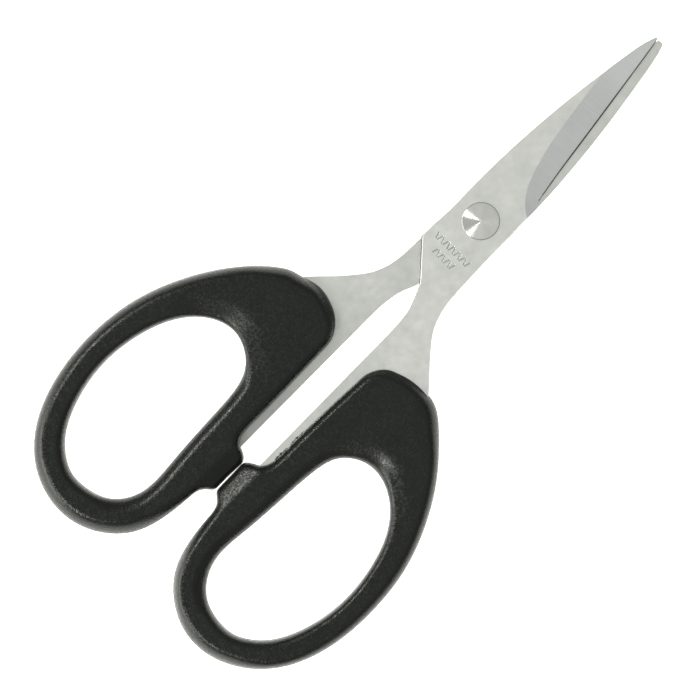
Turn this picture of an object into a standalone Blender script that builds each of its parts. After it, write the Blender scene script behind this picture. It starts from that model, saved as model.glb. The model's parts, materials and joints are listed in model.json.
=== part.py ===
"""Fabric shears: two riveted stainless blades with one-piece plastic finger-loop handles moulded over their tangs.

The pair lies closed and flat. The row's +X runs from the finger loops to the blade tips, +Y to the left loop and +Z
up through the rivet's head. Every outline below is given in millimetres in the plane of the blades, measured from
the rivet's axis: u along the shears towards the tips, v across them. The front blade is drawn once; the back blade
is the same stamping turned over about the long axis, and the two handles are mirror images of each other.
"""

import math

import bmesh
import bpy
import numpy as np
from mathutils import Matrix, Vector

MM = 0.001

# ---- driving dimensions, mm ----
HANDLE_THICK = 8.4  # overall thickness of a finger loop
STOCK = 1.6  # blade sheet thickness
BLADE_GAP = 0.3  # between the blades' inner faces
FIT_GAP = 0.3  # between a moulded handle and its tang
PIVOT_X = 29.2  # the rivet's axis from the middle of the whole length
LOOP_END_U = -118.6

HEAD_R = 4.45  # rivet head
HEAD_RIM = 0.35
HEAD_RISE = 0.75
SHANK_R = 2.2
BORE_R = 2.3  # blade holes turn on the shank with 0.1 mm to spare
WASHER_R = 4.0
WASHER_THICK = 0.5
TAIL_R = 3.1
TAIL_THICK = 0.75
SEAT_GAP = 0.15  # under the head and either side of the washer

GRIND_ANGLE = math.radians(13.0)  # ground face of a blade
EDGE_ANGLE = math.radians(50.0)  # sharpened edge
EDGE_LAND = 0.12  # steel left at the very edge

STOP_FACE_V = 0.25  # each stop pad stops this far from the middle line

# ---- handle outlines, left handle (v > 0) ----
OUTER = [
    (-85.0, 0.25), (-81.0, 0.25), (-80.1, 0.5), (-79.05, 1.8), (-78.25, 3.35), (-76.95, 4.5), (-75.0, 5.05),
    (-69.0, 5.2), (-58.0, 5.45), (-48.0, 5.7), (-44.9, 6.05),
    (-42.2, 7.4), (-40.05, 9.7), (-38.65, 13.0), (-38.1, 17.0), (-38.5, 20.9), (-39.7, 24.1),
    (-44.2, 29.6), (-51.5, 35.95), (-61.05, 41.5), (-72.05, 45.35), (-84.5, 46.75), (-96.6, 45.5), (-107.5, 41.1),
    (-115.2, 33.8), (-118.75, 24.3), (-117.1, 15.4), (-111.4, 7.85), (-104.0, 4.6), (-97.0, 3.55), (-93.6, 3.2),
    (-92.05, 2.7), (-90.85, 1.65), (-89.9, 0.57), (-89.0, 0.25),
]
INNER = [
    (-111.1, 25.0), (-109.6, 17.85), (-105.2, 13.2), (-99.5, 11.45), (-91.0, 12.0), (-79.0, 12.75), (-68.5, 13.65),
    (-63.6, 15.6), (-60.5, 19.25), (-59.55, 24.0), (-61.65, 29.95), (-67.15, 35.3), (-75.15, 38.65), (-86.0, 40.1),
    (-96.95, 38.5), (-105.8, 34.2), (-110.0, 29.1),
]
SPINE_LINE = ((-98.0, 25.5), (-74.0, 25.5))  # middle line of the finger hole: sections fan out from it

# ---- front blade outline: spine at v > 0, tang at v < 0 ----
POINTED_TIP = [(60.35, 0.78), (59.95, 1.22)]
BLUNT_TIP = [(59.5, -0.34), (60.15, -0.2), (60.5, 0.14), (60.62, 0.62), (60.5, 1.1), (60.1, 1.42)]
BACK = [(57.5, 2.04), (54.0, 2.77), (46.0, 4.02), (36.0, 5.4), (26.0, 6.37), (16.0, 7.02), (6.0, 7.2), (-2.0, 7.1), (-8.0, 7.42)]
BLUNT_BACK = [(58.0, 2.02), (54.0, 2.84), (46.0, 4.12), (36.0, 5.52), (26.0, 6.55), (16.0, 7.25), (6.0, 7.42), (-6.0, 7.3)]
SHOULDER = (-12.3, 7.55)  # corner of the flat beside the rivet
CROTCH = (-20.9, 0.0)
TANG_INSIDE = [(-22.4, -0.95), (-24.5, -1.9), (-27.5, -2.7), (-31.5, -3.1), (-36.0, -3.15)]
TANG_END = [(-82.0, -3.15), (-83.0, -4.2), (-83.0, -8.2), (-82.0, -9.3)]
TANG_ROOT = [(-67.0, -9.4), (-61.5, -10.6), (-56.0, -14.2), (-51.0, -19.6), (-46.5, -22.2), (-41.8, -22.4)]
FRONT_OUTSIDE = [
    *TANG_ROOT, (-38.2, -20.3), (-33.5, -16.05), (-29.5, -12.6), (-26.5, -10.4), (-23.0, -8.92), (-19.0, -8.1),
    (-13.0, -7.75), (-4.0, -7.5),
]
BACK_OUTSIDE = [
    *TANG_ROOT, (-38.2, -20.0), (-33.5, -15.45), (-29.5, -11.95), (-26.5, -9.8), (-23.0, -8.35), (-19.0, -7.6),
    (-13.0, -7.35), (-4.0, -7.12),
]
HEEL = (8.6, -7.25)
EDGE = [(13.0, -6.5), (20.0, -5.33), (30.0, -3.94), (40.0, -2.56), (50.0, -1.11)]
POINTED_EDGE = [*EDGE, (55.0, -0.38), (58.6, 0.14)]  # runs up to the point
BLUNT_EDGE = [*EDGE, (53.0, -0.72), (56.0, -0.44)]  # the back blade's tip is left wider and rounded off
GRIND_TOP = [  # where the ground face meets the flat of the blade
    (8.2, -7.3), (8.9, -6.2), (9.9, -4.95), (11.0, -3.95), (12.4, -2.95), (14.2, -1.95), (16.8, -0.95), (20.0, 0.0),
    (25.0, 1.2), (32.0, 2.35), (40.0, 3.4), (47.0, 4.1), (54.0, 4.6), (62.0, 5.0),
]
KEY_HOLES = [(-47.5, -14.0, 2.5), (-62.5, -7.1, 1.4), (-75.5, -7.1, 1.4)]  # the plastic locks through these


# ---------------------------------------------------------------- curves
def periodic_spline(points, step):
    """A smooth closed curve through the points, sampled about every step mm."""
    p = np.array(points, float)
    n = len(p)
    h = np.linalg.norm(np.roll(p, -1, axis=0) - p, axis=1) ** 0.5
    a = np.zeros((n, n))
    b = np.zeros((n, 2))
    for i in range(n):
        before, after = h[i - 1], h[i]
        a[i, (i - 1) % n] += before
        a[i, i] += 2 * (before + after)
        a[i, (i + 1) % n] += after
        b[i] = 6 * ((p[(i + 1) % n] - p[i]) / after - (p[i] - p[i - 1]) / before)
    m = np.linalg.solve(a, b)
    out = []
    for i in range(n):
        j = (i + 1) % n
        count = max(1, round(float(np.linalg.norm(p[j] - p[i])) / step))
        for k in range(count):
            t = h[i] * k / count
            s = h[i] - t
            out.append(
                m[i] * s**3 / (6 * h[i])
                + m[j] * t**3 / (6 * h[i])
                + (p[i] / h[i] - m[i] * h[i] / 6) * s
                + (p[j] / h[i] - m[j] * h[i] / 6) * t
            )
    return np.array(out)


def open_spline(points, step):
    """A smooth open curve through the points (Catmull-Rom), both ends kept."""
    p = [np.array(q, float) for q in points]
    p = [2 * p[0] - p[1], *p, 2 * p[-1] - p[-2]]
    out = []
    for i in range(1, len(p) - 2):
        a, b, c, d = p[i - 1 : i + 3]
        count = max(1, round(float(np.linalg.norm(c - b)) / step))
        for k in range(count):
            t = k / count
            out.append(0.5 * (2 * b + (c - a) * t + (2 * a - 5 * b + 4 * c - d) * t**2 + (3 * b - a - 3 * c + d) * t**3))
    out.append(p[-2])
    return [tuple(q) for q in out]


def ray_hit(polygon, base, direction):
    """How far along the ray from base the closed polygon is first met."""
    a = polygon
    e = np.roll(polygon, -1, axis=0) - a
    w = a - base
    cross = direction[0] * e[:, 1] - direction[1] * e[:, 0]
    with np.errstate(divide="ignore", invalid="ignore"):
        along = (w[:, 0] * e[:, 1] - w[:, 1] * e[:, 0]) / cross
        share = (w[:, 0] * direction[1] - w[:, 1] * direction[0]) / cross
    good = (share >= -1e-9) & (share <= 1 + 1e-9) & (along > 1e-6)
    return float(along[good].min())


def nearest(points, polygon):
    """Distance from each point to the closed polygon's edge."""
    a = polygon
    e = np.roll(polygon, -1, axis=0) - a
    w = points[:, None, :] - a[None]
    t = np.clip((w * e).sum(2) / (e * e).sum(1), 0, 1)
    return np.linalg.norm(w - t[..., None] * e, axis=2).min(1)


def ramp(lo, hi, x):
    t = np.clip((x - lo) / (hi - lo), 0, 1)
    return t * t * (3 - 2 * t)


def grown(outline, by):
    """The closed outline moved outwards by that many mm."""
    p = np.array(outline, float)
    ahead, behind = np.roll(p, -1, axis=0) - p, p - np.roll(p, 1, axis=0)
    n1 = np.stack([ahead[:, 1], -ahead[:, 0]], 1) / np.linalg.norm(ahead, axis=1)[:, None]
    n2 = np.stack([behind[:, 1], -behind[:, 0]], 1) / np.linalg.norm(behind, axis=1)[:, None]
    n = n1 + n2
    n /= np.linalg.norm(n, axis=1)[:, None]
    n /= np.clip((n * n1).sum(1), 0.6, 1)[:, None]
    x, y = p[:, 0], p[:, 1]
    turn = 1 if (x * np.roll(y, -1) - y * np.roll(x, -1)).sum() > 0 else -1
    return p + n * by * turn


# ---------------------------------------------------------------- objects
def material(name, colour, roughness, metallic):
    m = bpy.data.materials.new(name)
    m.use_nodes = True
    shader = m.node_tree.nodes["Principled BSDF"]
    shader.inputs["Base Color"].default_value = (*colour, 1)
    shader.inputs["Roughness"].default_value = roughness
    shader.inputs["Metallic"].default_value = metallic
    return m


def new_object(name, mesh, where, mat=None):
    obj = bpy.data.objects.new(name, mesh)
    where.objects.link(obj)
    if mat:
        obj.data.materials.append(mat)
    return obj


def plate(name, outline, z0, z1, where, mat=None):
    """A flat solid of that outline between two heights, from a filled 2D curve."""
    curve = bpy.data.curves.new(name + "_outline", "CURVE")
    curve.dimensions = "2D"
    curve.fill_mode = "BOTH"
    curve.extrude = (z1 - z0) / 2 * MM
    spline = curve.splines.new("POLY")
    spline.points.add(len(outline) - 1)
    for point, (u, v) in zip(spline.points, outline):
        point.co = (u * MM, v * MM, 0, 1)
    spline.use_cyclic_u = True
    guide = bpy.data.objects.new(name + "_outline", curve)
    where.objects.link(guide)
    bpy.context.view_layer.update()
    graph = bpy.context.evaluated_depsgraph_get()
    mesh = bpy.data.meshes.new_from_object(guide.evaluated_get(graph))
    bpy.data.objects.remove(guide)
    bm = bmesh.new()
    bm.from_mesh(mesh)
    bmesh.ops.remove_doubles(bm, verts=bm.verts, dist=1e-6)
    bmesh.ops.translate(bm, verts=bm.verts, vec=(0, 0, (z0 + z1) / 2 * MM))
    bmesh.ops.recalc_face_normals(bm, faces=bm.faces)
    bm.to_mesh(mesh)
    bm.free()
    mesh.materials.clear()
    return new_object(name, mesh, where, mat)


def turned(name, profile, steps, where, mat=None):
    """A solid of revolution about the rivet's axis. The profile is (radius, height) from its top on the axis down."""
    mesh = bpy.data.meshes.new(name)
    mesh.from_pydata([(r * MM, 0, z * MM) for r, z in profile], [(i, i + 1) for i in range(len(profile) - 1)], [])
    obj = new_object(name, mesh, where)
    screw = obj.modifiers.new("turn", "SCREW")
    screw.steps = screw.render_steps = steps
    screw.use_merge_vertices = True
    screw.merge_threshold = 1e-6
    screw.use_smooth_shade = True
    if mat:
        obj.data.materials.append(mat)
    return obj


def cylinder(name, u, v, r, z0, z1, where, segments=32):
    bm = bmesh.new()
    bmesh.ops.create_cone(
        bm, cap_ends=True, segments=segments, radius1=r * MM, radius2=r * MM, depth=(z1 - z0) * MM,
        matrix=Matrix.Translation((u * MM, v * MM, (z0 + z1) / 2 * MM)),
    )
    mesh = bpy.data.meshes.new(name)
    bm.to_mesh(mesh)
    bm.free()
    return new_object(name, mesh, where)


def loft(name, sections, where, ring=False, mat=None):
    """A skin over closed sections, each a list of (x, y, z) in mm. A ring joins the last section to the first."""
    bm = bmesh.new()
    rows = [[bm.verts.new(Vector(p) * MM) for p in section] for section in sections]
    n = len(sections[0])
    for i in range(len(rows) if ring else len(rows) - 1):
        a, b = rows[i], rows[(i + 1) % len(rows)]
        for k in range(n):
            bm.faces.new((a[k], a[(k + 1) % n], b[(k + 1) % n], b[k]))
    if not ring:
        bm.faces.new(rows[0])
        bm.faces.new(rows[-1])
    bmesh.ops.recalc_face_normals(bm, faces=bm.faces)
    mesh = bpy.data.meshes.new(name)
    bm.to_mesh(mesh)
    bm.free()
    return new_object(name, mesh, where, mat)


def join_or_cut(obj, other, operation):
    modifier = obj.modifiers.new(operation.lower() + "_" + other.name, "BOOLEAN")
    modifier.operation = operation
    modifier.solver = "EXACT"
    modifier.object = other


# ---------------------------------------------------------------- the handle's form
def outer_round(u, v):
    """Width of the rounding along the handle's outside, in plan."""
    far = ramp(-96, -110, u) * 2.3
    side = 1.2 + 0.5 * ramp(20, 40, v)
    return np.maximum(side, far)


def inner_round(u, v):
    """Width of the rounding along the finger hole: broad against the shoulder, where the finger pushes."""
    shoulder = 4.6 * ramp(-66, -60.5, u)
    bar = 1.5 + 1.0 * ramp(20, 14, v)
    return np.maximum(bar, shoulder)


def stop_pad_drop(u, v):
    """Share of the half thickness left on top of the stop pad, which is chamfered towards its face."""
    across = ramp(-93.5, -90.5, u) * ramp(-77.5, -80.0, u)
    return 1 - 0.34 * across * (1 - ramp(1.0, 5.0, v))


def handle_sections(step, turns):
    """Cross-sections round the finger loop, each from the outside over the top to the hole and back underneath."""
    outer, inner = periodic_spline(OUTER, step), periodic_spline(INNER, 1.0)
    (a, _), (b, mid) = SPINE_LINE
    half = HANDLE_THICK / 2
    sections = []
    for o in outer:
        base = np.array([min(max(o[0], a), b), mid])
        direction = (o - base) / np.linalg.norm(o - base)
        i = base + direction * ray_hit(inner, base, direction)
        length = float(np.linalg.norm(o - i))
        ro, ri = float(outer_round(*o)), float(inner_round(*i))
        ro, ri = min(ro, 0.45 * length), min(ri, 0.45 * length)
        near = [ro * (1 - math.cos(t)) for t in turns] + [length - ri * (1 - math.cos(t)) for t in reversed(turns)]
        points = np.array([o - direction * d for d in near])
        do, di = nearest(points, outer), nearest(points, inner)
        rise = np.sqrt(np.clip(1 - (1 - np.clip(do / ro, 0, 1)) ** 2, 0, 1) * np.clip(1 - (1 - np.clip(di / ri, 0, 1)) ** 2, 0, 1))
        rise = np.minimum(1, rise * 1.006)  # dead flat between the roundings
        rise *= stop_pad_drop(points[:, 0], points[:, 1])
        z = half * rise
        top = [(o[0], o[1], 0.0), *[(*p, h) for p, h in zip(points, z)], (i[0], i[1], 0.0)]
        under = [(x, y, -h) for x, y, h in reversed(top[1:-1])]
        sections.append(top + under)
    return sections


def side_up(sections, side):
    return [[(x, side * y, z) for x, y, z in s] for s in sections]


def blade_outline(tip, edge):
    pointed = len(tip) == 2
    back = open_spline([*(BACK if pointed else BLUNT_BACK), SHOULDER], 4)
    inside = open_spline([CROTCH, *TANG_INSIDE], 2)
    outside = open_spline([TANG_END[-1], *(FRONT_OUTSIDE if pointed else BACK_OUTSIDE), HEEL], 3)
    return [*tip, *back, *inside, *TANG_END[:-1], *outside, *edge]


# ---------------------------------------------------------------- pieces
def make_blade(name, tip, cutting_edge, where, cutters, mat):
    """Drawn as the front blade: inner face down at half the gap, ground face up."""
    z0 = BLADE_GAP / 2
    z1 = z0 + STOCK
    blade = plate(name, blade_outline(tip, cutting_edge), z0, z1, where, mat)
    join_or_cut(blade, cylinder(name + "_bore", 0, 0, BORE_R, z0 - 1, z1 + 1, cutters, 48), "DIFFERENCE")
    for k, (u, v, r) in enumerate(KEY_HOLES):
        join_or_cut(blade, cylinder(f"{name}_key_{k}", u, v, r, z0 - 1, z1 + 1, cutters, 24), "DIFFERENCE")
    slope = math.tan(GRIND_ANGLE)
    reach = 14.0
    grind = []
    for u, v in GRIND_TOP:
        grind.append([(u, v + 2, z1 + 2 * slope), (u, v - reach, z1 - reach * slope), (u, v - reach, z1 + 3), (u, v + 2, z1 + 3)])
    join_or_cut(blade, loft(name + "_grind", grind, cutters), "DIFFERENCE")
    rise = math.tan(EDGE_ANGLE)
    edge = []
    (u, v), (end_u, end_v) = cutting_edge[-1], tip[0]
    past = (end_u + 2.0, end_v + 2.0 * (end_v - v) / (end_u - u))
    line = [(HEEL[0] - 2.0, HEEL[1] - 0.3), HEEL, *cutting_edge, tip[0], past]
    for u, v in line:
        low = z0 + EDGE_LAND
        edge.append([(u, v - 1.5, low - 1.5 * rise), (u, v + 0.9, low + 0.9 * rise), (u, v - 1.5, low + 0.9 * rise)])
    join_or_cut(blade, loft(name + "_sharpening", edge, cutters), "DIFFERENCE")
    return blade


def make_handle(name, side, where, cutters, mat):
    """side is 1 for the left handle, moulded over the back blade's tang, and -1 for the right one over the front blade's."""
    turns = [math.radians(t) for t in (25, 52, 90)]
    handle = loft(name, side_up(handle_sections(3.0, turns), side), where, ring=True, mat=mat)
    front = -side  # the front blade's tang is on the right
    z0, z1 = BLADE_GAP / 2 - FIT_GAP, BLADE_GAP / 2 + STOCK + FIT_GAP
    low, high = (z0, z1) if front > 0 else (-z1, -z0)
    outside = open_spline([TANG_END[-1], *(FRONT_OUTSIDE if front > 0 else BACK_OUTSIDE)[:9]], 3)
    outline = [*outside, (-29.5, -2.0), (-78.6, -2.0), TANG_END[0], *TANG_END[1:-1]]
    outline = [(u, -v) for u, v in outline]  # as the left handle's, v > 0
    grown_outline = [(u, side * v) for u, v in grown(outline, FIT_GAP)]
    socket = plate(name + "_socket", grown_outline, low, high, cutters)
    join_or_cut(handle, socket, "DIFFERENCE")
    for k, (u, v, r) in enumerate(KEY_HOLES):
        plug = cylinder(f"{name}_plug_{k}", u, -side * v, r - FIT_GAP, low - 0.6, high + 0.6, cutters, 24)
        join_or_cut(handle, plug, "UNION")
    return handle


def make_rivet(where, mat):
    top = BLADE_GAP / 2 + STOCK + SEAT_GAP
    washer_top = -(BLADE_GAP / 2 + STOCK + SEAT_GAP)
    washer_low = washer_top - WASHER_THICK
    tail_top = washer_low - SEAT_GAP
    profile = [
        (0, top + HEAD_RIM + HEAD_RISE), (0.5, top + HEAD_RIM + 0.94 * HEAD_RISE), (2.4, top + HEAD_RIM + 0.5 * HEAD_RISE),
        (HEAD_R - 0.25, top + HEAD_RIM + 0.05), (HEAD_R, top + HEAD_RIM - 0.12), (HEAD_R, top),
        (SHANK_R, top), (SHANK_R, tail_top),
        (TAIL_R, tail_top), (TAIL_R, tail_top - 0.25), (TAIL_R - 0.5, tail_top - 0.6), (1.6, tail_top - TAIL_THICK),
        (0.8, tail_top - TAIL_THICK + 0.05), (0, tail_top - TAIL_THICK + 0.25),
    ]
    rivet = turned("pivot_rivet", profile, 48, where, mat)
    washer_profile = [
        (SHANK_R + 0.1, washer_top), (WASHER_R - 0.12, washer_top), (WASHER_R, washer_top - 0.12),
        (WASHER_R, washer_low + 0.12), (WASHER_R - 0.12, washer_low), (SHANK_R + 0.1, washer_low), (SHANK_R + 0.1, washer_top),
    ]
    washer = turned("rivet_washer", washer_profile, 48, where, mat)
    return rivet, washer


def main():
    for obj in list(bpy.data.objects):
        bpy.data.objects.remove(obj)
    scene = bpy.context.scene.collection
    shears = bpy.data.collections.new("fabric_shears")
    cutters = bpy.data.collections.new("cutters")
    scene.children.link(shears)
    scene.children.link(cutters)

    steel = material("satin_stainless_steel", (0.62, 0.62, 0.60), 0.32, 1.0)
    bright = material("turned_stainless_steel", (0.70, 0.70, 0.67), 0.22, 1.0)
    plastic = material("black_moulded_plastic", (0.018, 0.019, 0.018), 0.45, 0.0)

    front_blade = make_blade("front_blade", POINTED_TIP, POINTED_EDGE, shears, cutters, steel)
    back_blade = make_blade("back_blade", BLUNT_TIP, BLUNT_EDGE, shears, cutters, steel)
    right_handle = make_handle("right_handle", -1, shears, cutters, plastic)
    left_handle = make_handle("left_handle", 1, shears, cutters, plastic)
    rivet, washer = make_rivet(shears, bright)

    # both halves turn about the rivet's axis, at the height of the plane where the blades meet
    axis = (PIVOT_X * MM, 0, HANDLE_THICK / 2 * MM)
    halves = {}
    for name in ("front_half_on_pivot", "back_half_on_pivot"):
        halves[name] = bpy.data.objects.new(name, None)
        halves[name].location = axis
        shears.objects.link(halves[name])
    for obj in (front_blade, right_handle):
        obj.parent = halves["front_half_on_pivot"]
    for obj in (back_blade, left_handle, rivet, washer):
        obj.parent = halves["back_half_on_pivot"]
    back_blade.rotation_euler = (math.pi, 0, 0)  # the same stamping, turned over about the long axis

    carried = {"front_blade": "front_half_on_pivot", "right_handle": "front_half_on_pivot",
               "back_blade": "back_half_on_pivot", "left_handle": "back_half_on_pivot"}
    for cutter in cutters.objects:
        cutter.hide_render = True
        cutter.display_type = "WIRE"
        for owner, half in carried.items():
            if cutter.name.startswith(owner):
                cutter.parent = halves[half]
                if owner == "back_blade":
                    cutter.rotation_euler = (math.pi, 0, 0)
    bpy.context.view_layer.update()

    for obj in (front_blade, back_blade, right_handle, left_handle):
        obj.data.shade_smooth()
        obj.data.set_sharp_from_angle(angle=math.radians(35))


main()
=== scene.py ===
"""Looks for the fabric shears: fine blades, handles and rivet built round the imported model, with a pale floor and studio light."""

import json
import math

import bmesh
import bpy
import numpy as np
from mathutils import Matrix, Vector


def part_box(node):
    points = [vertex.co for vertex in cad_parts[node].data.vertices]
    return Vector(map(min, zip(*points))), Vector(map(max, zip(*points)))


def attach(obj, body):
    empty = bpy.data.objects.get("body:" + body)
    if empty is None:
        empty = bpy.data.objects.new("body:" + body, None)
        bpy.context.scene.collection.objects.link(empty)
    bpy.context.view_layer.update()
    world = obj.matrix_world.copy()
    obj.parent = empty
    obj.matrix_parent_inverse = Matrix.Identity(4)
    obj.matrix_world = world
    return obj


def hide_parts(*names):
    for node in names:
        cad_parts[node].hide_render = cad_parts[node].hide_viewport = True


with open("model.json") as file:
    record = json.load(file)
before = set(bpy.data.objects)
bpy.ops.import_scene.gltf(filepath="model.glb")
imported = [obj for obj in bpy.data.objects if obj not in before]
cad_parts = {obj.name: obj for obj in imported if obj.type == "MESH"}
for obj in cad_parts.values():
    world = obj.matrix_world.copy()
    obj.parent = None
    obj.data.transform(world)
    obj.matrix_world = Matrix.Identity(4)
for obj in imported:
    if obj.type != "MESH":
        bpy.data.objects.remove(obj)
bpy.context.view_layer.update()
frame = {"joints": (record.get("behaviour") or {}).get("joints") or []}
MM = 0.001

# ---------------------------------------------------------------- the design's own numbers, as in the CAD (mm)
hinge = frame["joints"][0]
PIVOT = Vector(hinge["pos_m"]) if "pos_m" in hinge else Vector((0.0292, 0, 0.0042))
PX, MID = PIVOT.x / MM, PIVOT.z / MM
HALF = (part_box("left_handle")[1][2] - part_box("left_handle")[0][2]) / MM / 2
STOCK = (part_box("front_blade")[1][2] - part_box("front_blade")[0][2]) / MM
GAP = (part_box("front_blade")[0][2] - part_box("back_blade")[1][2]) / MM

OUTER = [
    (-85.0, 0.25), (-81.0, 0.25), (-80.1, 0.5), (-79.05, 1.8), (-78.25, 3.35), (-76.95, 4.5), (-75.0, 5.05),
    (-69.0, 5.2), (-58.0, 5.45), (-48.0, 5.7), (-44.9, 6.05),
    (-42.2, 7.4), (-40.05, 9.7), (-38.65, 13.0), (-38.1, 17.0), (-38.5, 20.9), (-39.7, 24.1),
    (-44.2, 29.6), (-51.5, 35.95), (-61.05, 41.5), (-72.05, 45.35), (-84.5, 46.75), (-96.6, 45.5), (-107.5, 41.1),
    (-115.2, 33.8), (-118.75, 24.3), (-117.1, 15.4), (-111.4, 7.85), (-104.0, 4.6), (-97.0, 3.55), (-93.6, 3.2),
    (-92.05, 2.7), (-90.85, 1.65), (-89.9, 0.57), (-89.0, 0.25),
]
INNER = [
    (-111.1, 25.0), (-109.6, 17.85), (-105.2, 13.2), (-99.5, 11.45), (-91.0, 12.0), (-79.0, 12.75), (-68.5, 13.65),
    (-63.6, 15.6), (-60.5, 19.25), (-59.55, 24.0), (-61.65, 29.95), (-67.15, 35.3), (-75.15, 38.65), (-86.0, 40.1),
    (-96.95, 38.5), (-105.8, 34.2), (-110.0, 29.1),
]
POINTED_TIP = [(60.4, 0.7), (60.15, 1.12)]
BLUNT_TIP = [(59.3, -0.3), (60.0, -0.2), (60.32, 0.1), (60.42, 0.62), (60.3, 1.1), (59.95, 1.4)]
BLUNT_BACK = [(58.0, 2.02), (54.0, 2.84), (46.0, 4.12), (36.0, 5.52), (26.0, 6.55), (16.0, 7.25), (6.0, 7.42), (-6.0, 7.3)]
BACK = [(57.5, 2.04), (54.0, 2.77), (46.0, 4.02), (36.0, 5.4), (26.0, 6.37), (16.0, 7.02), (6.0, 7.2), (-2.0, 7.1), (-8.0, 7.42)]
SHOULDER = (-12.3, 7.55)
CROTCH = (-20.8, -0.05)
FRONT_INSIDE = [(-22.2, -0.8), (-24.5, -1.78), (-27.5, -2.7), (-31.5, -3.16), (-36.0, -3.24), (-55.0, -3.36)]
BACK_INSIDE = [(-22.2, -0.45), (-24.5, -1.48), (-27.5, -2.27), (-31.5, -2.73), (-36.0, -2.83), (-55.0, -2.88)]
FRONT_END = [(-82.0, -3.48), (-83.0, -4.2), (-83.0, -8.2), (-82.0, -9.3)]
BACK_END = [(-82.0, -2.95), *FRONT_END[1:]]
TANG_ROOT = [(-67.0, -9.4), (-61.5, -10.6), (-56.0, -14.2), (-51.0, -19.6), (-46.5, -22.2), (-41.8, -22.4)]
FRONT_OUTSIDE = [
    *TANG_ROOT, (-38.2, -20.3), (-33.5, -16.05), (-29.5, -12.6), (-26.5, -10.4), (-23.0, -8.92), (-19.0, -8.1),
    (-13.0, -7.75), (-4.0, -7.5),
]
BACK_OUTSIDE = [
    *TANG_ROOT, (-38.2, -20.0), (-33.5, -15.45), (-29.5, -11.95), (-26.5, -9.8), (-23.0, -8.35), (-19.0, -7.6),
    (-13.0, -7.35), (-4.0, -7.12),
]
HEEL = (8.6, -7.25)
EDGE = [(13.0, -6.5), (20.0, -5.33), (30.0, -3.94), (40.0, -2.56), (50.0, -1.11)]
POINTED_EDGE = [*EDGE, (55.0, -0.38), (58.2, 0.12), (59.4, 0.36)]
BLUNT_EDGE = [*EDGE, (53.0, -0.72), (56.0, -0.44)]
GRIND_TOP = [
    (8.2, -7.3), (8.9, -6.2), (9.9, -4.95), (11.0, -3.95), (12.4, -2.95), (14.2, -1.95), (16.8, -0.95), (20.0, 0.0),
    (25.0, 1.2), (32.0, 2.35), (40.0, 3.4), (47.0, 4.1), (54.0, 4.6), (62.0, 5.0),
]
GRIND_ANGLE = math.radians(13.0)
EDGE_ANGLE = math.radians(50.0)
EDGE_LAND = 0.12
HEAD_R, SHANK_R = 4.45, 2.2


# ---------------------------------------------------------------- curves
def periodic_spline(points, step):
    """A smooth closed curve through the points, sampled about every step mm."""
    p = np.array(points, float)
    n = len(p)
    h = np.linalg.norm(np.roll(p, -1, axis=0) - p, axis=1) ** 0.5
    a = np.zeros((n, n))
    b = np.zeros((n, 2))
    for i in range(n):
        before, after = h[i - 1], h[i]
        a[i, (i - 1) % n] += before
        a[i, i] += 2 * (before + after)
        a[i, (i + 1) % n] += after
        b[i] = 6 * ((p[(i + 1) % n] - p[i]) / after - (p[i] - p[i - 1]) / before)
    m = np.linalg.solve(a, b)
    out = []
    for i in range(n):
        j = (i + 1) % n
        count = max(2, round(float(np.linalg.norm(p[j] - p[i])) / step))
        for k in range(count):
            t = h[i] * k / count
            s = h[i] - t
            out.append(
                m[i] * s**3 / (6 * h[i])
                + m[j] * t**3 / (6 * h[i])
                + (p[i] / h[i] - m[i] * h[i] / 6) * s
                + (p[j] / h[i] - m[j] * h[i] / 6) * t
            )
    return np.array(out)


def open_spline(points, step):
    """A smooth open curve through the points (Catmull-Rom), both ends kept."""
    p = [np.array(q, float) for q in points]
    p = [2 * p[0] - p[1], *p, 2 * p[-1] - p[-2]]
    out = []
    for i in range(1, len(p) - 2):
        a, b, c, d = p[i - 1 : i + 3]
        count = max(1, round(float(np.linalg.norm(c - b)) / step))
        for k in range(count):
            t = k / count
            out.append(0.5 * (2 * b + (c - a) * t + (2 * a - 5 * b + 4 * c - d) * t**2 + (3 * b - a - 3 * c + d) * t**3))
    out.append(p[-2])
    return [tuple(q) for q in out]


def ray_hit(polygon, base, direction):
    a = polygon
    e = np.roll(polygon, -1, axis=0) - a
    w = a - base
    cross = direction[0] * e[:, 1] - direction[1] * e[:, 0]
    with np.errstate(divide="ignore", invalid="ignore"):
        along = (w[:, 0] * e[:, 1] - w[:, 1] * e[:, 0]) / cross
        share = (w[:, 0] * direction[1] - w[:, 1] * direction[0]) / cross
    good = (share >= -1e-9) & (share <= 1 + 1e-9) & (along > 1e-6)
    return float(along[good].min())


def nearest(points, polygon):
    """Distance from each point to the closed polygon's edge."""
    a = polygon
    e = np.roll(polygon, -1, axis=0) - a
    ee = (e * e).sum(1)
    out = np.empty(len(points))
    for i in range(0, len(points), 4000):
        w = points[i : i + 4000, None, :] - a[None]
        t = np.clip((w * e).sum(2) / ee, 0, 1)
        out[i : i + 4000] = np.sqrt(((w - t[..., None] * e) ** 2).sum(2)).min(1)
    return out


def ramp(lo, hi, x):
    t = np.clip((x - lo) / (hi - lo), 0, 1)
    return t * t * (3 - 2 * t)


def offset(outline, by):
    """The closed outline moved outwards by that many mm."""
    p = np.array(outline, float)
    ahead, behind = np.roll(p, -1, axis=0) - p, p - np.roll(p, 1, axis=0)
    n1 = np.stack([ahead[:, 1], -ahead[:, 0]], 1) / np.linalg.norm(ahead, axis=1)[:, None]
    n2 = np.stack([behind[:, 1], -behind[:, 0]], 1) / np.linalg.norm(behind, axis=1)[:, None]
    n = n1 + n2
    n /= np.linalg.norm(n, axis=1)[:, None]
    n /= np.clip((n * n1).sum(1), 0.5, 1)[:, None]
    x, y = p[:, 0], p[:, 1]
    turn = 1 if (x * np.roll(y, -1) - y * np.roll(x, -1)).sum() > 0 else -1
    return p + n * by * turn


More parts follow.
